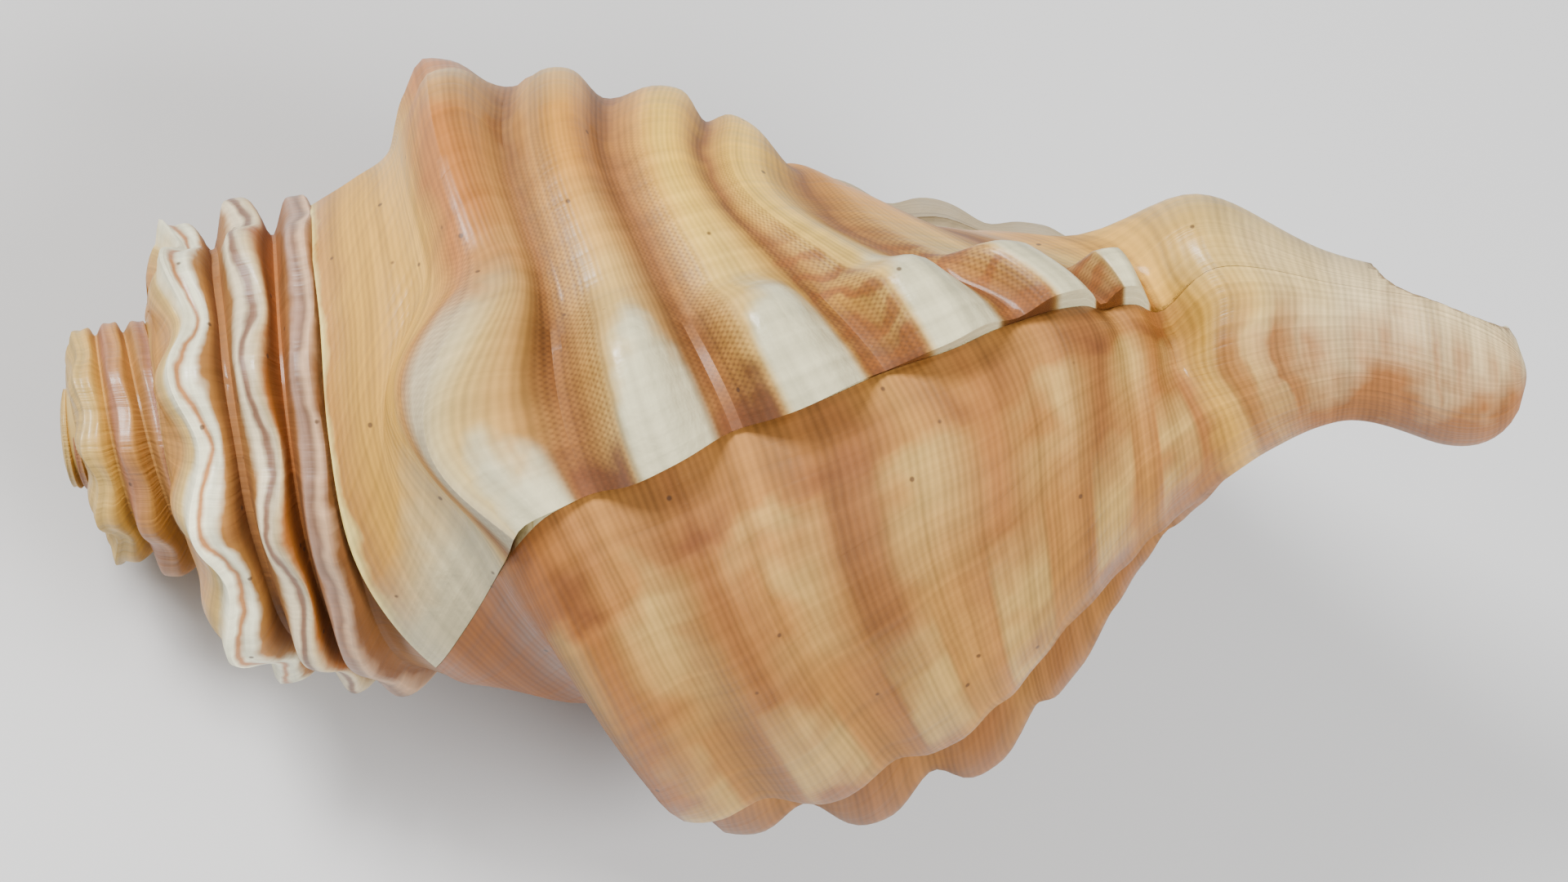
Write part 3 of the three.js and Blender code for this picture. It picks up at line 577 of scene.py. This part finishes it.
# Crests are 1 on the even columns and 0 in the grooves. The fingers' white lies a little aside of
# them, toward the canal.
ASIDE = 0.22
crest = add("ShaderNodeMath", {0: column, 1: math.pi}, operation="MULTIPLY")
crest = add("ShaderNodeMath", {0: crest}, operation="COSINE")
crest = add("ShaderNodeMapRange", {0: crest, 1: -1.0, 2: 1.0})
aside = add("ShaderNodeMath", {0: column, 1: ASIDE}, operation="SUBTRACT")
aside = add("ShaderNodeMath", {0: aside, 1: math.pi}, operation="MULTIPLY")
aside = add("ShaderNodeMath", {0: aside}, operation="COSINE")
aside = add("ShaderNodeMapRange", {0: aside, 1: -1.0, 2: 1.0})

# The last whorl up to the rib, from the seam to the canal.
CANAL_BANDS = [(0.775, GOLD), (0.805, BUFF), (0.85, PALE_SAND), (1.0, PALE_SAND)]
before_rib = add("ShaderNodeValToRGB", {0: band}, stops=[
    (0.0, STRAW), (0.012, OCHRE), (0.04, MUSTARD), (0.12, GOLD), (0.165, COPPER), (0.2, COPPER),
    (0.235, TAWNY), (0.25, BROWN), (0.27, OCHRE), (0.3, HONEY), (0.335, BROWN), (0.35, DARK_BROWN),
    (0.38, HONEY), (0.4, YELLOW), (0.45, DARK_BROWN), (0.5, YELLOW), (0.55, DARK_BROWN),
    (0.6, ORANGE), (0.65, UMBER), (0.7, HONEY),
] + CANAL_BANDS)

# The last whorl after the rib.
after_rib = add("ShaderNodeValToRGB", {0: band}, stops=[
    (0.0, CHESTNUT), (0.1, CHESTNUT), (0.17, CHESTNUT), (0.205, BROWN), (0.25, TAWNY),
    (0.3, DARK_BROWN), (0.345, TAWNY), (0.385, BROWN), (0.41, DARK_BROWN), (0.445, TAN),
    (0.5, BROWN), (0.55, TAWNY), (0.6, DARK_BROWN), (0.65, TAWNY), (0.7, BROWN), (0.745, BROWN),
] + CANAL_BANDS)

# The spire: pale cords with brown between them. The earliest whorls are worn to plainer bands.
spire = add("ShaderNodeValToRGB", {0: band}, stops=[
    (0.0, BUFF), (0.03, OCHRE), (0.1, OCHRE), (0.15, BUFF), (0.17, IVORY), (0.188, IVORY),
    (0.194, FAWN), (0.2, FAWN), (0.206, IVORY), (0.216, IVORY), (0.226, TAWNY), (0.24, BROWN),
    (0.252, BROWN), (0.266, TAWNY), (0.276, CREAM), (0.285, CREAM), (0.292, GREY_BROWN),
    (0.3, GREY_BROWN), (0.307, CREAM), (0.316, PALE_SAND), (0.33, CHESTNUT), (0.35, CHESTNUT),
    (0.37, BROWN), (0.384, TAUPE), (0.4, GREY_BROWN), (0.413, PEACH), (0.43, UMBER),
    (0.5, TAWNY), (1.0, TAWNY),
])
early = add("ShaderNodeValToRGB", {0: band}, stops=[
    (0.0, DULL_GOLD), (0.1, DULL_GOLD), (0.2, BUFF), (0.24, MUSTARD), (0.27, ROSE_BROWN),
    (0.3, FAWN), (0.33, OCHRE), (0.36, TAN), (0.4, ROSE_BROWN), (0.45, TAN), (1.0, TAN),
])

is_early = add("ShaderNodeMapRange", {0: turn, 1: -545.0, 2: -500.0, 3: 1.0, 4: 0.0})
is_spire = add("ShaderNodeMapRange", {0: turn, 1: -215.0, 2: -170.0, 3: 1.0, 4: 0.0})
is_after = add("ShaderNodeMath", {0: turn, 1: float(RIB_TURN)}, operation="GREATER_THAN")
spire = add("ShaderNodeMix", {0: is_early, 6: spire, 7: early}, data_type="RGBA")
colour = add("ShaderNodeMix", {0: is_spire, 6: before_rib, 7: spire}, data_type="RGBA")
colour = add("ShaderNodeMix", {0: is_after, 6: colour, 7: after_rib}, data_type="RGBA")

# The canal is cream above and orange beneath, with orange growth bands toward its tip.
underside = add("ShaderNodeAttribute", {}, attribute_name="underside").node.outputs["Fac"]
beneath = add("ShaderNodeMath", {0: drift, 1: 2.2, 2: underside}, operation="MULTIPLY_ADD")
beneath = add("ShaderNodeMapRange", {0: beneath, 1: -0.45, 2: 0.75, 3: 0.0, 4: 0.95})
in_canal = add("ShaderNodeMapRange", {0: column, 1: 15.0, 2: 16.6})
beneath = add("ShaderNodeMath", {0: beneath, 1: in_canal}, operation="MULTIPLY")
grown = add("ShaderNodeMath", {0: drift, 1: 0.4, 2: column}, operation="MULTIPLY_ADD")
grown = add("ShaderNodeMath", {0: grown, 1: float(COLUMNS)}, operation="DIVIDE")
grown = add("ShaderNodeValToRGB", {0: grown}, stops=[
    (0.0, 0.0), (0.783, 0.0), (0.794, 0.85), (0.804, 0.8), (0.811, 0.1), (0.816, 0.15), (0.82, 0.9),
    (0.827, 0.8), (0.834, 0.1), (0.86, 0.05), (0.869, 0.85), (0.878, 0.1), (0.888, 0.1),
    (0.894, 0.75), (0.9, 0.2), (0.908, 0.8), (0.915, 0.15), (0.925, 0.7), (0.931, 0.1),
    (0.94, 0.75), (0.95, 0.15), (1.0, 0.5)])
side = add("ShaderNodeMapRange", {0: underside, 1: -0.55, 2: -0.1})
grown = add("ShaderNodeMath", {0: grown, 1: side}, operation="MULTIPLY")
orange = add("ShaderNodeMath", {0: beneath, 1: grown}, operation="MAXIMUM")
colour = add("ShaderNodeMix", {0: orange, 6: colour, 7: linear(RUSSET)}, data_type="RGBA")

# The ridges turn cream toward the rib, and on the row of knobs a quarter of a turn before it.
on_ridges = add("ShaderNodeMapRange", {0: column, 1: 2.6, 2: 3.4})
in_body = add("ShaderNodeMapRange", {0: column, 1: 14.6, 2: 15.2, 3: 1.0, 4: 0.0})
on_ridges = add("ShaderNodeMath", {0: on_ridges, 1: in_body}, operation="MULTIPLY")
toward_rib = add("ShaderNodeMapRange", {0: edge, 1: -44.0, 2: -12.0}, interpolation_type="SMOOTHSTEP")
before = add("ShaderNodeMath", {0: 1.0, 1: is_after}, operation="SUBTRACT")
knob_row = add("ShaderNodeValToRGB", {0: add("ShaderNodeMapRange", {0: edge, 1: -140.0, 2: -40.0})},
               stops=[(0.0, 0.0), (0.42, 0.0), (0.58, 0.8), (0.66, 0.8), (0.82, 0.0), (1.0, 0.0)])
cream = add("ShaderNodeMath", {0: toward_rib, 1: knob_row}, operation="MAXIMUM")
for mask in (before, on_ridges, crest):
    cream = add("ShaderNodeMath", {0: cream, 1: mask}, operation="MULTIPLY")
colour = add("ShaderNodeMix", {0: cream, 6: colour, 7: linear(BUFF)}, data_type="RGBA")

# Before the rib, a painted highlight in pale gold lies on the crests of the third and fourth ridges.
gold_crest_highlight = add("ShaderNodeValToRGB", {0: add("ShaderNodeMapRange", {0: column, 1: 6.0, 2: 12.0})},
           stops=[(0.0, 0.0), (0.2, 0.0), (0.32, 1.0), (0.45, 0.2), (0.66, 1.0), (0.9, 0.0)])
highlight_turns = add("ShaderNodeValToRGB", {0: add("ShaderNodeMapRange", {0: edge, 1: -100.0, 2: 0.0})},
             stops=[(0.0, 0.0), (0.2, 0.0), (0.45, 0.75), (0.75, 0.75), (0.95, 0.2), (1.0, 0.0)])
for mask in (highlight_turns, crest, before):
    gold_crest_highlight = add("ShaderNodeMath", {0: gold_crest_highlight, 1: mask}, operation="MULTIPLY")
colour = add("ShaderNodeMix", {0: gold_crest_highlight, 6: colour, 7: linear(PAINTED_HIGHLIGHT_GOLD)}, data_type="RGBA")

# White fingers: the ridges' last 15 to 25 degrees of growth before the rib's edge, less on the first.
late = add("ShaderNodeMapRange", {0: column, 1: 4.4, 2: 5.2, 3: 11.0, 4: 0.0})
tip = add("ShaderNodeMath", {0: edge, 1: late}, operation="SUBTRACT")
tip = add("ShaderNodeMath", {0: aside, 1: 16.0, 2: tip}, operation="MULTIPLY_ADD")
tip = add("ShaderNodeMapRange", {0: tip, 1: 1.0, 2: 10.0}, interpolation_type="SMOOTHSTEP")
on_crest = add("ShaderNodeMapRange", {0: aside, 1: 0.34, 2: 0.6}, interpolation_type="SMOOTHSTEP")
white = tip
for mask in (on_crest, before, on_ridges):
    white = add("ShaderNodeMath", {0: white, 1: mask}, operation="MULTIPLY")
corner = add("ShaderNodeMapRange", {0: edge, 1: -18.0, 2: 0.0, 3: 0.0, 4: 0.85})
on_ramp = add("ShaderNodeMapRange", {0: column, 1: 2.2, 2: 3.0, 3: 1.0, 4: 0.0})
for mask in (on_ramp, before):
    corner = add("ShaderNodeMath", {0: corner, 1: mask}, operation="MULTIPLY")
white = add("ShaderNodeMath", {0: white, 1: corner}, operation="MAXIMUM")
rim = add("ShaderNodeValToRGB", {0: add("ShaderNodeMapRange", {0: column, 1: 2.0, 2: 6.0})},
          stops=[(0.0, 0.0), (0.25, 0.0), (0.33, 0.75), (0.41, 0.7), (0.54, 0.0), (1.0, 0.0)])
along_rim = add("ShaderNodeMapRange", {0: edge, 1: -32.0, 2: -14.0}, interpolation_type="SMOOTHSTEP")
for mask in (along_rim, before):
    rim = add("ShaderNodeMath", {0: rim, 1: mask}, operation="MULTIPLY")
white = add("ShaderNodeMath", {0: white, 1: rim}, operation="MAXIMUM")
lip = add("ShaderNodeMapRange", {0: edge, 1: 192.0, 2: 198.0, 3: 0.0, 4: 0.9})
white = add("ShaderNodeMath", {0: white, 1: lip}, operation="MAXIMUM")

# Red-brown in the grooves against the rib's edge.
near_edge = add("ShaderNodeMapRange", {0: edge, 1: 1.0, 2: 8.0}, interpolation_type="SMOOTHSTEP")
in_groove = add("ShaderNodeMapRange", {0: aside, 1: 0.55, 2: 0.2}, interpolation_type="SMOOTHSTEP")
rust = near_edge
for mask in (in_groove, before, on_ridges):
    rust = add("ShaderNodeMath", {0: rust, 1: mask}, operation="MULTIPLY")
colour = add("ShaderNodeMix", {0: rust, 6: colour, 7: linear(RED_BROWN)}, data_type="RGBA")
colour = add("ShaderNodeMix", {0: white, 6: colour, 7: linear(CHALK)}, data_type="RGBA")

# Brown rings, like an agate's, in the grooves between the last fingers.
RING_SPACING = 5.5        # degrees
rings = add("ShaderNodeMath", {0: edge, 1: 2 * math.pi / RING_SPACING}, operation="MULTIPLY")
rings = add("ShaderNodeMath", {0: rings}, operation="SINE")
rings = add("ShaderNodeMapRange", {0: rings, 1: -0.3, 2: 0.8, 3: 0.2, 4: 0.9})
ringed = add("ShaderNodeMapRange", {0: column, 1: 7.8, 2: 8.6})
on_rib = add("ShaderNodeMapRange", {0: edge, 1: -26.0, 2: -14.0})
for mask in (ringed, on_rib, in_groove, before, on_ridges):
    rings = add("ShaderNodeMath", {0: rings, 1: mask}, operation="MULTIPLY")
colour = add("ShaderNodeMix", {0: rings, 6: colour, 7: linear(RUSSET)}, data_type="RGBA")

# The tan strip after the rib ends in scalloped brown patches on the crests.
scallop = add("ShaderNodeMath", {0: crest, 1: -5.0, 2: edge}, operation="MULTIPLY_ADD")
patch = add("ShaderNodeValToRGB", {0: add("ShaderNodeMapRange", {0: scallop, 1: 0.0, 2: 100.0})},
            stops=[(0.0, 0.0), (0.11, 0.0), (0.175, 0.85), (0.195, 0.6), (0.21, 0.0), (1.0, 0.0)])
for mask in (crest, is_after, on_ridges):
    patch = add("ShaderNodeMath", {0: patch, 1: mask}, operation="MULTIPLY")
patchy = add("ShaderNodeTexNoise", {"Vector": place, "Scale": 90.0, "Detail": 2.0})
patchy = add("ShaderNodeMapRange", {0: patchy, 1: 0.36, 2: 0.5})
patch = add("ShaderNodeMath", {0: patch, 1: patchy}, operation="MULTIPLY")
colour = add("ShaderNodeMix", {0: patch, 6: colour, 7: linear(RED_BROWN)}, data_type="RGBA")

# Cream pools in the grooves after the patches, and on the knobs before the ridges turn darker.
between = add("ShaderNodeMath", {0: 1.0, 1: crest}, operation="SUBTRACT")
pool = add("ShaderNodeValToRGB", {0: add("ShaderNodeMapRange", {0: scallop, 1: 0.0, 2: 100.0})},
           stops=[(0.0, 0.0), (0.2, 0.0), (0.24, 0.9), (0.34, 0.8), (0.52, 0.0), (1.0, 0.0)])
pool = add("ShaderNodeMath", {0: pool, 1: between}, operation="MULTIPLY")
knobs = add("ShaderNodeValToRGB", {0: add("ShaderNodeMapRange", {0: edge, 1: 0.0, 2: 100.0})},
            stops=[(0.0, 0.0), (0.48, 0.0), (0.62, 0.85), (0.76, 0.8), (0.84, 0.0), (1.0, 0.0)])
knobs = add("ShaderNodeMath", {0: knobs, 1: on_crest}, operation="MULTIPLY")
pool = add("ShaderNodeMath", {0: pool, 1: knobs}, operation="MAXIMUM")
for mask in (is_after, on_ridges, patchy):
    pool = add("ShaderNodeMath", {0: pool, 1: mask}, operation="MULTIPLY")
colour = add("ShaderNodeMix", {0: pool, 6: colour, 7: linear(DULL_GOLD)}, data_type="RGBA")

# The ridges turn darker from there to the lip.
darker_to_lip = add("ShaderNodeMapRange", {0: edge, 1: 84.0, 2: 94.0, 3: 0.0, 4: 0.45})
darker_to_lip = add("ShaderNodeMath", {0: darker_to_lip, 1: on_ridges}, operation="MULTIPLY")
colour = add("ShaderNodeMix", {0: darker_to_lip, 6: colour, 7: linear(UMBER)}, data_type="RGBA")

# A brown streak along the third ridge, just after the rib.
down = add("ShaderNodeValToRGB", {0: add("ShaderNodeMapRange", {0: turn, 1: 0.0, 2: 100.0})},
           stops=[(0.0, 0.0), (0.18, 0.0), (0.24, 1.0), (0.5, 0.8), (0.62, 0.0), (1.0, 0.0)])
streak_across = add("ShaderNodeValToRGB", {0: add("ShaderNodeMapRange", {0: column, 1: 7.0, 2: 9.0})},
                    stops=[(0.0, 0.0), (0.34, 0.0), (0.42, 0.8), (0.66, 0.75), (0.76, 0.0), (1.0, 0.0)])
brown = add("ShaderNodeMath", {0: down, 1: streak_across}, operation="MULTIPLY")
colour = add("ShaderNodeMix", {0: brown, 6: colour, 7: linear(UMBER)}, data_type="RGBA")

# Streaks along the spiral and faint stripes along the growth lines, both from noise drawn out.
streak_at = add("ShaderNodeCombineXYZ", {0: add("ShaderNodeMath", {0: turn, 1: 0.02},
                                                operation="MULTIPLY"), 1: across})
streak = add("ShaderNodeTexNoise", {"Vector": streak_at, "Scale": 0.55, "Detail": 4.0})
streak = add("ShaderNodeMapRange", {0: streak, 1: 0.3, 2: 0.7, 3: 0.74, 4: 1.2})
line_at = add("ShaderNodeCombineXYZ", {0: turn, 1: add("ShaderNodeMath", {0: across, 1: 0.06},
                                                       operation="MULTIPLY")})
line = add("ShaderNodeTexNoise", {"Vector": line_at, "Scale": 0.45, "Detail": 5.0})
shade = add("ShaderNodeMapRange", {0: line, 1: 0.3, 2: 0.7, 3: 0.86, 4: 1.1})
shade = add("ShaderNodeMath", {0: shade, 1: streak}, operation="MULTIPLY")
colour = add("ShaderNodeMix", {0: 1.0, 6: colour, 7: shade}, data_type="RGBA", blend_type="MULTIPLY")

# Spiral threads, gone on the fingers and the spire. Real ones are about half a millimetre apart, and
# these are drawn a little coarser. Their troughs are painted darker and their tops lighter, as painted
# shade and highlight on their relief.
THREAD_SPACING = 0.62     # mm
wander = add("ShaderNodeMath", {0: drift, 1: 5.0}, operation="MULTIPLY")
thread = add("ShaderNodeMath", {0: across, 1: 2 * math.pi / THREAD_SPACING, 2: wander},
             operation="MULTIPLY_ADD")
thread = add("ShaderNodeMath", {0: thread}, operation="SINE")
bare = add("ShaderNodeMath", {0: white, 1: is_spire}, operation="MAXIMUM")
plain = add("ShaderNodeMath", {0: 1.0, 1: bare}, operation="SUBTRACT")
uneven = add("ShaderNodeMapRange", {0: streak, 1: 0.74, 2: 1.2, 3: 1.0, 4: 0.35})
plain = add("ShaderNodeMath", {0: plain, 1: uneven}, operation="MULTIPLY")
thread = add("ShaderNodeMath", {0: thread, 1: plain}, operation="MULTIPLY")
thread_painted_shading = add("ShaderNodeMapRange", {0: thread, 1: -1.0, 2: 1.0, 3: 0.8, 4: 1.06})
colour = add("ShaderNodeMix", {0: 1.0, 6: colour, 7: thread_painted_shading}, data_type="RGBA",
             blend_type="MULTIPLY")

# Where threads cross growth lines in the grooves before the rib, a net of brown dots.
NET_SPACING = 0.9         # degrees
net = add("ShaderNodeMath", {0: turn, 1: 2 * math.pi / NET_SPACING, 2: wander},
          operation="MULTIPLY_ADD")
net = add("ShaderNodeMath", {0: net}, operation="SINE")
net = add("ShaderNodeMath", {0: net, 1: thread}, operation="MULTIPLY")
net = add("ShaderNodeMapRange", {0: net, 1: -0.3, 2: 0.9, 3: 0.05, 4: 0.75})
near_rib = add("ShaderNodeMapRange", {0: edge, 1: -60.0, 2: -25.0})
for mask in (near_rib, in_groove, before, on_ridges):
    net = add("ShaderNodeMath", {0: net, 1: mask}, operation="MULTIPLY")
colour = add("ShaderNodeMix", {0: net, 6: colour, 7: linear(BLACK_BROWN)}, data_type="RGBA")

# Sparse dark specks, about half a millimetre across.
speck = add("ShaderNodeTexVoronoi", {"Vector": place, "Scale": 210.0})
speck = add("ShaderNodeMapRange", {0: speck, 1: 0.04, 2: 0.07, 3: 0.8, 4: 0.0})
colour = add("ShaderNodeMix", {0: speck, 6: colour, 7: linear(DIRT)}, data_type="RGBA")

# The lining of the mouth, white with a warm tinge.
lining = add("ShaderNodeAttribute", {}, attribute_name="lining").node.outputs["Fac"]
colour = add("ShaderNodeMix", {0: lining, 6: colour, 7: linear(CREAM)}, data_type="RGBA")

# Relief in mm: threads, growth lines and the fingers' shallow pits.
relief = add("ShaderNodeMath", {0: thread, 1: 0.014}, operation="MULTIPLY")
relief = add("ShaderNodeMath", {0: line, 1: 0.16, 2: relief}, operation="MULTIPLY_ADD")
pits = add("ShaderNodeTexNoise", {"Vector": place, "Scale": 420.0, "Detail": 3.0})
pits = add("ShaderNodeMath", {0: pits, 1: white}, operation="MULTIPLY")
relief = add("ShaderNodeMath", {0: pits, 1: 0.35, 2: relief}, operation="MULTIPLY_ADD")
bump = add("ShaderNodeBump", {"Height": relief, "Distance": 0.001, "Strength": 1.0})
gloss = add("ShaderNodeMapRange", {0: line, 1: 0.3, 2: 0.7, 3: 0.36, 4: 0.5})
worn = add("ShaderNodeMapRange", {0: crest, 1: 0.1, 2: 0.8, 3: 0.34, 4: 0.0})
gloss = add("ShaderNodeMath", {0: gloss, 1: worn}, operation="ADD")
surface = add("ShaderNodeBsdfPrincipled", {"Base Color": colour, "Roughness": gloss, "IOR": 1.5,
                                           "Coat Weight": 0.12, "Coat Roughness": 0.15,
                                           "Normal": bump})
add("ShaderNodeOutputMaterial", {"Surface": surface})

shell.data.materials.clear()
shell.data.materials.append(material)
bpy.context.view_layer.objects.active = shell
shell.select_set(True)
bpy.ops.object.shade_smooth_by_angle(angle=math.radians(40))
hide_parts("shell")
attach(shell, "root")

# ---- Stage ------------------------------------------------------------------------------------------
# A plain pale floor and soft studio light, and a camera well above the shell, looking at its back.
TILT = math.atan(0.045)   # of the shell's axis in the view
APEX = (-73.75, 1.42)     # mm, the apex from the middle of the view
DISTANCE = 600            # mm, from the camera to the middle of the view


def from_view(x, y, z):
    dx, dz = x - APEX[0], z - APEX[1]
    return Vector(resting((dx * math.cos(TILT) + dz * math.sin(TILT), y,
                           dz * math.cos(TILT) - dx * math.sin(TILT))))


def look(thing, position, target):
    back = (position - target).normalized()
    right = (from_view(0, 0, 1) - from_view(0, 0, 0)).cross(back).normalized()
    thing.matrix_world = Matrix.Translation(position) @ Matrix(
        (right, back.cross(right), back)).transposed().to_4x4()


camera = bpy.data.cameras.new("camera")
camera.lens = 135
camera.sensor_width = 36
camera.clip_start = 0.01
camera.clip_end = 20
eye = bpy.data.objects.new("camera", camera)
bpy.context.scene.collection.objects.link(eye)
bpy.context.scene.camera = eye
look(eye, from_view(0, -DISTANCE, 0), from_view(0, 0, 0))

# Soft boxes: name, place in the view's frame in mm, side in m, watts.
for name, spot, side, power in (("key", (-210, -470, 330), 0.16, 7.0),
                                ("fill", (480, -420, -200), 0.5, 8.5)):
    lamp = bpy.data.lights.new(name, "AREA")
    lamp.size = side
    lamp.energy = power
    softbox = bpy.data.objects.new(name, lamp)
    bpy.context.scene.collection.objects.link(softbox)
    look(softbox, from_view(*spot), from_view(0, 0, 0))
softbox.visible_glossy = False   # the fill, the last one, stays out of the reflections

world = bpy.data.worlds.new("studio")
bpy.context.scene.world = world
world.use_nodes = True
world.node_tree.nodes["Background"].inputs["Color"].default_value = (1, 1, 1, 1)
world.node_tree.nodes["Background"].inputs["Strength"].default_value = 0.3

paper = bpy.data.materials.new("pale_paper")
paper.use_nodes = True
tree = paper.node_tree
tree.nodes.clear()
add("ShaderNodeOutputMaterial", {"Surface": add("ShaderNodeBsdfPrincipled", {
    "Base Color": linear("#c9c9c9"), "Roughness": 0.8})})
bpy.ops.mesh.primitive_plane_add(size=6)
floor = bpy.context.object
floor.name = "floor"
floor.data.materials.append(paper)
